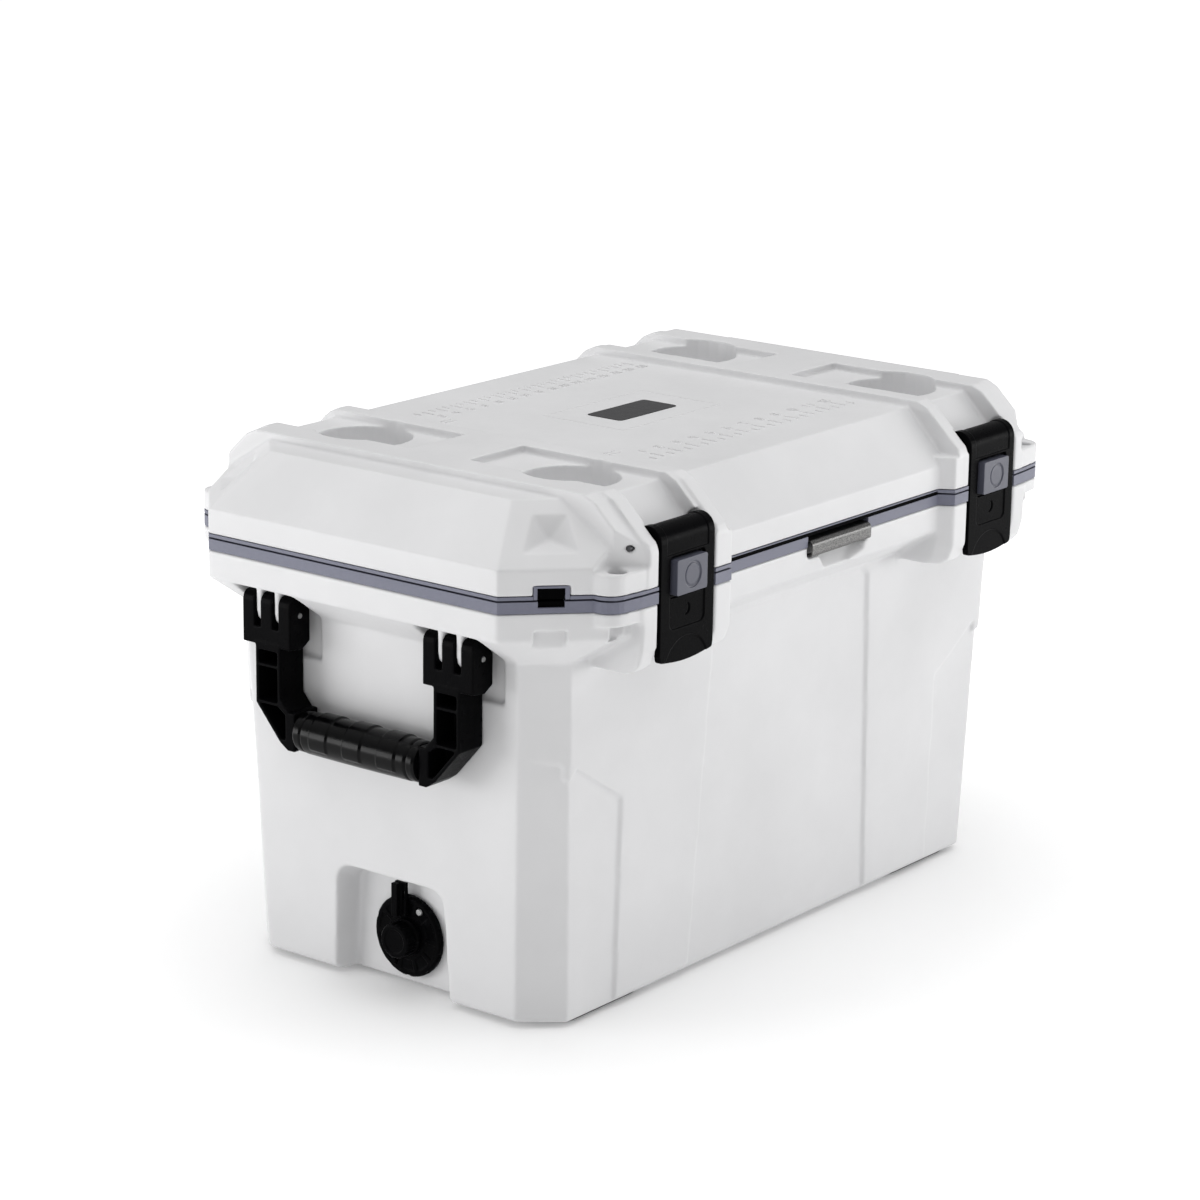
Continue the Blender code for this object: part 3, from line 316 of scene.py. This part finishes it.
# ---------------------------------------------------------------- cutters for details
def prism(name, low, high):
    """A solid between two loops of the same number of corners."""
    bm = bmesh.new()
    rings = [[bm.verts.new(place) for place in loop] for loop in (low, high)]
    count = len(low)
    for i in range(count):
        j = (i + 1) % count
        bm.faces.new((rings[0][i], rings[0][j], rings[1][j], rings[1][i]))
    bm.faces.new(list(reversed(rings[0])))
    bm.faces.new(rings[1])
    bmesh.ops.recalc_face_normals(bm, faces=bm.faces)
    mesh = bpy.data.meshes.new(name)
    bm.to_mesh(mesh)
    bm.free()
    solid = bpy.data.objects.new(name, mesh)
    bpy.context.scene.collection.objects.link(solid)
    return solid


def slab(name, outline, axis, start, end):
    """A solid with that outline, (y, z) along X or (x, z) along Y or (x, y) along Z."""
    loops = [[{"X": (at, p, q), "Y": (p, at, q), "Z": (p, q, at)}[axis] for p, q in outline]
             for at in (start, end)]
    return prism(name, *loops)


def arc(centre, radius, start, end, count):
    points = []
    for i in range(count + 1):
        angle = math.radians(start + (end - start) * i / count)
        points.append((centre[0] + radius * math.cos(angle), centre[1] + radius * math.sin(angle)))
    return points


def ring(centre, radius, count=40):
    return arc(centre, radius, 0, 360 - 360 / count, count - 1)


def oblong(low_x, high_x, low_y, high_y):
    return [(low_x, low_y), (high_x, low_y), (high_x, high_y), (low_x, high_y)]


def rounded(x, z, half_x, half_z, radius):
    points = []
    for sx, sz, start in ((1, 1, 0), (-1, 1, 90), (-1, -1, 180), (1, -1, 270)):
        centre = (x + sx * (half_x - radius), z + sz * (half_z - radius))
        points += arc(centre, radius, start, start + 90, 5)
    return points


def carve(piece, operation, tools):
    """Cuts the tools out of a piece, or joins them to it, and removes the tools."""
    for tool in tools:
        step = piece.modifiers.new("carve", "BOOLEAN")
        step.operation = operation
        step.solver = "EXACT"
        step.object = tool
    settle(piece)
    for tool in tools:
        bpy.data.objects.remove(tool, do_unlink=True)


# ---------------------------------------------------------------- white shells and plain parts
soft_whole(TUB_NODES, "tub_shell", TUB_PARTINGS, level(0.0018), level(5),
           level(0.16), WHITE)
soft_whole(LID_NODES, "lid_cover", LID_PARTINGS, level(0.0014), level(4),
           level(0.18), WHITE)

for name in frame["nodes"]:
    if name in TUB_NODES or name in LID_NODES:
        continue
    if name in ("inner_liner", "rim_band", "lid_liner"):
        paint(name, GREY, 0.0007)
    elif "foam" in name:
        paint(name, FOAM)
    elif name.startswith("foot") or name in ("drain_gasket", "lid_gasket"):
        paint(name, RUBBER, 0.0008)
    elif name.startswith("latch_pin"):
        paint(name, DARK_STEEL, 0.0003)
    elif name == "drain_screw_2":
        paint(name, BLACK, 0.0003)
    elif "screw" in name or "pin" in name.split("_") or "rod" in name.split("_"):
        paint(name, PIN_STEEL, 0.0003)
    elif name == "bottle_opener":
        paint(name, STEEL, 0.0004)
    elif name == "badge_plate":
        paint(name, PLATE, 0.0004)
    else:
        paint(name, BLACK, 0.0006)


# ---------------------------------------------------------------- lid rulers
# Bars of a seven-bar numeral: a top, g middle, d foot, f and b upper sides, e and c lower sides.
DIGITS = {"0": "abcdef", "1": "bc", "2": "abged", "3": "abgcd", "4": "fgbc", "5": "afgcd",
          "6": "afgedc", "7": "abc", "8": "abcdefg", "9": "abcdfg"}


def bar(bm, low_x, high_x, low_y, high_y, height=0.0009):
    """A raised bar on the lid with sloping sides."""
    inset = min(height / 3, (high_x - low_x) / 3, (high_y - low_y) / 3)
    corners = []
    for grow, z in ((0.0, LID_TOP_Z - 0.0006), (0.0, LID_TOP_Z), (inset, LID_TOP_Z + height)):
        corners.append([bm.verts.new(v) for v in (
            (low_x + grow, low_y + grow, z), (high_x - grow, low_y + grow, z),
            (high_x - grow, high_y - grow, z), (low_x + grow, high_y - grow, z))])
    for low, high in zip(corners, corners[1:]):
        for i in range(4):
            j = (i + 1) % 4
            bm.faces.new((low[i], low[j], high[j], high[i]))
    bm.faces.new(corners[-1])
    bm.faces.new(list(reversed(corners[0])))


def number(bm, text, x, y, tall):
    """Plain seven-bar numerals, centred on x with their foot at y; the bars don't touch."""
    wide, line, gap, height = tall * 0.54, tall * 0.13, 0.0002, 0.0007
    left = x - (len(text) * wide * 1.35 - wide * 0.35) / 2
    middle = y + tall / 2
    for mark in text:
        bars = DIGITS[mark]
        low = y + line + gap if "d" in bars else y
        high = y + tall - line - gap if "a" in bars else y + tall
        for letter, foot in (("d", y), ("g", middle - line / 2), ("a", y + tall - line)):
            if letter in bars:
                bar(bm, left, left + wide, foot, foot + line, height)
        for side, upper, lower in ((left, "f", "e"), (left + wide - line, "b", "c")):
            if "g" not in bars and upper in bars:
                bar(bm, side, side + line, low, high, height)
                continue
            if upper in bars:
                bar(bm, side, side + line, middle + line / 2 + gap, high, height)
            if lower in bars:
                bar(bm, side, side + line, low, middle - line / 2 - gap, height)
        left += wide * 1.35


def tick(bm, x, half_width, low_y, high_y):
    bar(bm, x - half_width, x + half_width, low_y, high_y)


def make_rulers():
    """Inches along the front edge, every second centimetre along the rear, and the badge's frame."""
    bm = bmesh.new()
    for inch in range(12):
        x = -0.1314 + INCH * inch
        tick(bm, x, 0.0009, -0.1370, -0.1215)
        tick(bm, x - INCH / 2, 0.0009, -0.1385, -0.1295)
        number(bm, str(inch + 1), x, -0.1165, 0.0100)
    tick(bm, 0.1607, 0.0009, -0.1385, -0.1295)
    for step in range(16):
        x = -0.1372 + 0.020 * step
        tick(bm, x, 0.0008, 0.1240, 0.1390)
        tick(bm, x - 0.010, 0.0008, 0.1310, 0.1400)
        number(bm, str(2 * step + 2), x, 0.1100, 0.0085)
    for low_x, high_x, low_y, thick in ((-0.1600, -0.1450, -0.0990, 0.0018),
                                        (-0.1600, -0.1450, -0.0925, 0.0018),
                                        (-0.1560, -0.1420, 0.0930, 0.0016),
                                        (-0.1560, -0.1420, 0.0990, 0.0016)):
        bar(bm, low_x, high_x, low_y, low_y + thick)
    for side in (-1, 1):
        bar(bm, -0.0735, 0.0735, side * 0.0460 - 0.0005, side * 0.0460 + 0.0005, 0.0003)
        bar(bm, side * 0.0735 - 0.0005, side * 0.0735 + 0.0005, -0.0452, 0.0452, 0.0003)
    new_piece("lid_rulers", bm, "lid", WHITE, False)


make_rulers()


# ---------------------------------------------------------------- gap between lid and tub
def corner_place(side_x, side_y, along, inward, z):
    """A point on a slanting corner of the rim: along it from the end, and in from its face."""
    run = Vector((RIM_X - RIM_CUT_X, RIM_CUT_Y - RIM_Y)).normalized()
    x = RIM_X - run.x * along + run.y * inward
    y = RIM_CUT_Y - run.y * along - run.x * inward
    return (side_x * x, side_y * y, z)


def corner_solid(name, sides, along, inward, heights):
    """A block in a slanting corner."""
    plan = ((along[0], inward[0]), (along[1], inward[0]), (along[1], inward[1]), (along[0], inward[1]))
    return prism(name, *([corner_place(*sides, *spot, z) for spot in plan] for z in heights))


def ease(piece, width, material, body):
    """Rounds the edges of a small block and gives it its material and body."""
    step = piece.modifiers.new("bevel", "BEVEL")
    step.width = width
    step.segments = 2
    step.limit_method = "ANGLE"
    settle(piece)
    piece.data.materials.clear()
    piece.data.materials.append(material)
    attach(piece, body)


def make_corner_slots():
    """A grey frame round a slot, half in the lid and half in the rim band, with flat black blocks
    inside as painted shade.
    """
    for side_x, across in ((-1, "left"), (1, "right")):
        for side_y, depth in ((-1, "front"), (1, "rear")):
            sides, name = (side_x, side_y), across + "_" + depth
            surround = corner_solid("slot_frame_" + name, sides, (0.0303, 0.0607),
                                    (0.0001, 0.0080), (LID_RIM_Z + 0.0001, SLOT_TOP_Z - 0.0003))
            opening = corner_solid("slot_opening", sides, (0.0336, 0.0569), (-0.01, 0.0060),
                                   (LID_RIM_Z - 0.01, SLOT_TOP_Z - 0.0022))
            carve(surround, "DIFFERENCE", [opening])
            ease(surround, 0.0003, GREY, "lid")
            # Painted shade: flat black blocks fill the upper slot and the well below it, standing in
            # for the shade inside.
            upper = corner_solid("slot_painted_shade_" + name, sides, (0.0339, 0.0566), (0.0022, 0.0058),
                                 (LID_RIM_Z + 0.0002, SLOT_TOP_Z - 0.0025))
            ease(upper, 0.0003, PAINTED_SHADE, "lid")
            lower = corner_solid("slot_well_" + name, sides, (0.0343, 0.0562), (0.0022, 0.0097),
                                 (SLOT_LOW_Z, RIM_TOP_Z - 0.0002))
            ease(lower, 0.0003, PAINTED_SHADE, "tub")


def make_front_gap():
    """Painted shade in the gap over the opener: a flat black strip standing in for the shadowed gap
    between lid and rim band, and a flat black block standing in for the shade in the pocket behind it.
    """
    # Painted shade: black strip where the gap between lid and rim band lies in shade.
    seal = slab("front_seal", oblong(-0.1670, 0.1670, -RIM_Y - 0.0002, -RIM_Y + 0.0060), "Z",
                RIM_TOP_Z + 0.0002, LID_RIM_Z + 0.0018)
    ease(seal, 0.0003, PAINTED_SHADE, "lid")
    low_x, high_x, back_y = OPENER_NOTCH
    # Painted shade: black block at the back of the opener's notch.
    pocket = slab("opener_pocket",
                  oblong(low_x + 0.0003, high_x - 0.0003, back_y - 0.0010, back_y - 0.0001), "Z",
                  LIP_Z + 0.0005, RIM_TOP_Z - 0.0002)
    ease(pocket, 0.0002, PAINTED_SHADE, "tub")


make_corner_slots()
make_front_gap()


# ---------------------------------------------------------------- latches
def make_latch(side, name):
    """The lever with its sunk panels, crescent and scoop, and the grey button with a plain ring."""
    x = side * BAY_X
    front = LATCH_FRONT_Y
    centre = (LATCH_Y, LATCH_Z)
    body = copied("latch_body_" + name, "latch_lever_" + name)
    inset = 0.0008
    head = arc(centre, LATCH_HEAD_R - inset, 180, 25, 20) + arc(centre, 0.0240, 25, 180, 8)
    head = [(front - 0.01, 0.4262), (front + inset, 0.4262)] + head
    panel = rounded(x, 0.3850, 0.0245, 0.0245, 0.0060)
    crescent = slab("crescent", ring((x, 0.3755), 0.0056, 28), "Y", front - 0.002, front + 0.0024)
    keep = slab("crescent_keep", ring((x - 0.0030, 0.3764), 0.0056, 28), "Y", front - 0.004,
                front + 0.003)
    carve(crescent, "DIFFERENCE", [keep])
    belly = arc((x, 0.5030), 0.1725, 247, 293, 16)
    below = [(x - 0.08, 0.3000)] + belly + [(x + 0.08, 0.3000)]
    carve(body, "DIFFERENCE", [
        slab("head_panel", head, "X", x - 0.0290, x + 0.0290),
        slab("panel", panel, "Y", front - 0.01, front + 0.0011),
        slab("scoop", ring((x, 0.3210), 0.0315, 48), "Y", front - 0.01, front + 0.0009),
        slab("foot", below, "Y", front - 0.01, front + 0.03)])
    carve(body, "DIFFERENCE", [crescent])
    soften(body, level(0.00048), level(3), level(0.22),
           BLACK, "latch_" + name)
    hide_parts("latch_body_" + name)

    button = copied("latch_button_" + name, "latch_push_" + name)
    dish = slab("dish", ring((x + 0.0010, BUTTON_Z), 0.0118, 44), "Y", -0.2600, -0.2483)
    core = slab("dish_core", ring((x + 0.0010, BUTTON_Z), 0.0096, 44), "Y", -0.2490, -0.2470)
    carve(button, "DIFFERENCE", [dish])
    carve(button, "UNION", [core])
    soften(button, level(0.00042), level(3), level(0.25),
           BUTTON, "button_" + name)
    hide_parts("latch_button_" + name)


make_latch(-1, "left")
make_latch(1, "right")


# ---------------------------------------------------------------- handles
def step_up(value, edge, width):
    """0 below the edge, 1 above it, smooth between."""
    share = min(max((value - edge) / width + 0.5, 0.0), 1.0)
    return share * share * (3 - 2 * share)


def grip_radius(y, angle):
    """Radius of the soft grip: sleeve, three wrap-over bands with a tab, end collars."""
    away = abs(y)
    radius = 0.0186 + 0.0006 * math.cos(away / 0.060 * 1.2)
    for middle in (-0.0390, 0.0, 0.0390):
        across = 1.0 - step_up(abs(y - middle), 0.0098, 0.0012)
        along = step_up(angle, -28.0, 7.0) * (1.0 - step_up(angle, 240.0, 7.0))
        radius += 0.0014 * across * along
    radius -= 0.0013 * math.exp(-((away - 0.0605) / 0.0008) ** 2)
    radius -= 0.0004 * step_up(away, 0.0612, 0.001)
    return radius - 0.0012 * step_up(away, 0.0690, 0.0016)


def make_grip(side, name):
    """Angle 0 points out of the chest and 90 points up."""
    bm = bmesh.new()
    rows, columns = level((140, 96))
    loops = []
    for row in range(rows + 1):
        y = -0.0698 + 0.1396 * row / rows
        loop = []
        for column in range(columns):
            degrees = -90.0 + 360.0 * column / columns
            radius = grip_radius(y, degrees)
            angle = math.radians(degrees)
            loop.append(bm.verts.new((side * (GRIP_X + radius * math.cos(angle)), y,
                                      GRIP_Z + radius * math.sin(angle))))
        loops.append(loop)
    for low, high in zip(loops, loops[1:]):
        for i in range(columns):
            j = (i + 1) % columns
            bm.faces.new((low[i], low[j], high[j], high[i]))
    bm.faces.new(loops[0])
    bm.faces.new(list(reversed(loops[-1])))
    grip = new_piece("soft_grip_" + name, bm, "handle_" + name, RUBBER)
    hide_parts("handle_grip_" + name)


for side, name in ((-1, "left"), (1, "right")):
    soft_copy("handle_frame_" + name, "handle_bow_" + name, level(0.00075), level(4),
              level(0.25), BLACK)
    make_grip(side, name)


# ---------------------------------------------------------------- drain
def sector(inner, outer, start, end):
    points = arc((DRAIN_Y, DRAIN_Z), inner, start, end, 4)
    return points + arc((DRAIN_Y, DRAIN_Z), outer, end, start, 4)


def make_drain():
    """The notched disc, the fluted knob of the plug, and the tab over them."""
    flange = copied("drain_flange", "drain_disc")
    tools = []
    for i in range(10):
        start = 36 * i + 14
        tools.append(slab("notch", sector(0.0365, 0.0450, start, start + 7), "X",
                          DRAIN_FACE_X - 0.01, DRAIN_FACE_X + 0.0040))
        tools.append(slab("pocket", sector(0.0215, 0.0325, start - 11, start + 17), "X",
                          DRAIN_FACE_X - 0.01, DRAIN_FACE_X + 0.0009))
    carve(flange, "DIFFERENCE", tools)
    soften(flange, level(0.0006), level(3), level(0.3), BLACK, "tub")
    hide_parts("drain_flange")

    cap = copied("drain_cap", "drain_knob")
    tools = [slab("face_ring", ring((DRAIN_Y, DRAIN_Z), 0.0112), "X", -0.36, -0.3459)]
    for i in range(12):
        angle = math.radians(30 * i)
        place = (DRAIN_Y + 0.0172 * math.cos(angle), DRAIN_Z + 0.0172 * math.sin(angle))
        tools.append(slab("flute", ring(place, 0.0021, 12), "X", -0.36, -0.3342))
    carve(cap, "DIFFERENCE", tools)
    soften(cap, level(0.0005), level(3), level(0.3), BLACK, "drain_plug")
    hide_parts("drain_cap")

    tab = copied("drain_tether", "drain_tab")
    hole = slab("tab_hole", [(DRAIN_Y - 0.0005, 0.0850), (DRAIN_Y + 0.0025, 0.0850),
                             (DRAIN_Y + 0.0025, 0.0930), (DRAIN_Y + 0.0010, 0.0950),
                             (DRAIN_Y - 0.0005, 0.0930)], "X", -0.36, -0.31)
    carve(tab, "DIFFERENCE", [hole])
    soften(tab, level(0.0005), level(3), level(0.3), BLACK, "tub")
    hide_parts("drain_tether")


make_drain()


# ---------------------------------------------------------------- studio
CAMERA_PLACE = (-2.66231, -2.03466, 1.20510)
CAMERA_TURN = (-52.1419, -15.2890, 0.7797)      # yaw from the rear, pitch and roll in degrees
CAMERA_LENS = 110.93                            # millimetres, on a sensor 36 mm wide


def area_light(name, place, aim, power, size, tall):
    light = bpy.data.lights.new(name, "AREA")
    light.energy = power
    light.shape = "RECTANGLE"
    light.size = size
    light.size_y = tall
    lamp = bpy.data.objects.new(name, light)
    lamp.location = place
    lamp.rotation_euler = (Vector(aim) - Vector(place)).to_track_quat("-Z", "Y").to_euler()
    bpy.context.scene.collection.objects.link(lamp)


def make_studio():
    bm = bmesh.new()
    bmesh.ops.create_grid(bm, x_segments=1, y_segments=1, size=30.0)
    floor = new_piece("studio_floor", bm, None, floor_material(), False)
    floor.location.z = -0.0002
    area_light("left_softbox", (-2.45, 2.35, 0.50), (0.0, 0.0, 0.25), 40.0, 2.0, 1.0)
    area_light("right_softbox", (2.55, -2.50, 0.54), (0.0, 0.0, 0.25), 41.0, 2.2, 1.05)
    area_light("top_softbox", (0.0, 0.0, 2.6), (0.0, 0.0, 0.3), 19.0, 2.4, 2.4)
    world = bpy.data.worlds.new("studio_air")
    bpy.context.scene.world = world
    world.use_nodes = True
    tree = world.node_tree
    background = tree.nodes["Background"]
    background.inputs["Color"].default_value = (1.0, 1.0, 1.0, 1.0)
    towards = tree.nodes.new("ShaderNodeTexCoord")
    split = tree.nodes.new("ShaderNodeSeparateXYZ")
    overhead = tree.nodes.new("ShaderNodeMapRange")     # the air glows more overhead
    for key, number in (("From Min", 0.20), ("From Max", 0.85), ("To Min", 0.15), ("To Max", 0.95)):
        overhead.inputs[key].default_value = number
    tree.links.new(towards.outputs["Generated"], split.inputs[0])
    tree.links.new(split.outputs["Z"], overhead.inputs["Value"])
    tree.links.new(overhead.outputs["Result"], background.inputs["Strength"])


def floor_material():
    """White paper with painted light: it glows faintly next to the chest and more strongly away from
    it, standing in for a lit sweep.
    """
    n = Nodes("studio_paper")
    cloud = n.noise(1.5, 2.0)
    n.link(n.mixed(cloud, (0.955, 0.955, 0.955), (0.965, 0.965, 0.965)),
           n.shader.inputs["Base Color"])
    n.shader.inputs["Roughness"].default_value = 0.85
    # Painted light: emission strength grows with distance from the chest.
    distance = n.add("ShaderNodeVectorMath", operation="LENGTH")
    n.link(n.coords, distance.inputs[0])
    n.shader.inputs["Emission Color"].default_value = (1.0, 1.0, 1.0, 1.0)
    n.link(n.ranged(distance.outputs["Value"], 0.32, 1.05, 0.10, 0.38),
           n.shader.inputs["Emission Strength"])
    return n.material


def make_camera():
    yaw, pitch, roll = (math.radians(angle) for angle in CAMERA_TURN)
    ahead = Vector((-math.sin(yaw) * math.cos(pitch), math.cos(yaw) * math.cos(pitch),
                    math.sin(pitch)))
    right = ahead.cross(Vector((0, 0, 1))).normalized()
    up = right.cross(ahead)
    tilted_right = math.cos(roll) * right + math.sin(roll) * up
    tilted_up = math.cos(roll) * up - math.sin(roll) * right
    data = bpy.data.cameras.new("camera")
    data.sensor_width = 36.0
    data.lens = CAMERA_LENS
    data.clip_end = 100.0
    camera = bpy.data.objects.new("camera", data)
    bpy.context.scene.collection.objects.link(camera)
    turn = Matrix((tilted_right, tilted_up, -ahead)).transposed()
    camera.matrix_world = Matrix.Translation(CAMERA_PLACE) @ turn.to_4x4()
    bpy.context.scene.camera = camera


make_studio()
make_camera()
bpy.context.scene.view_settings.view_transform = "Standard"
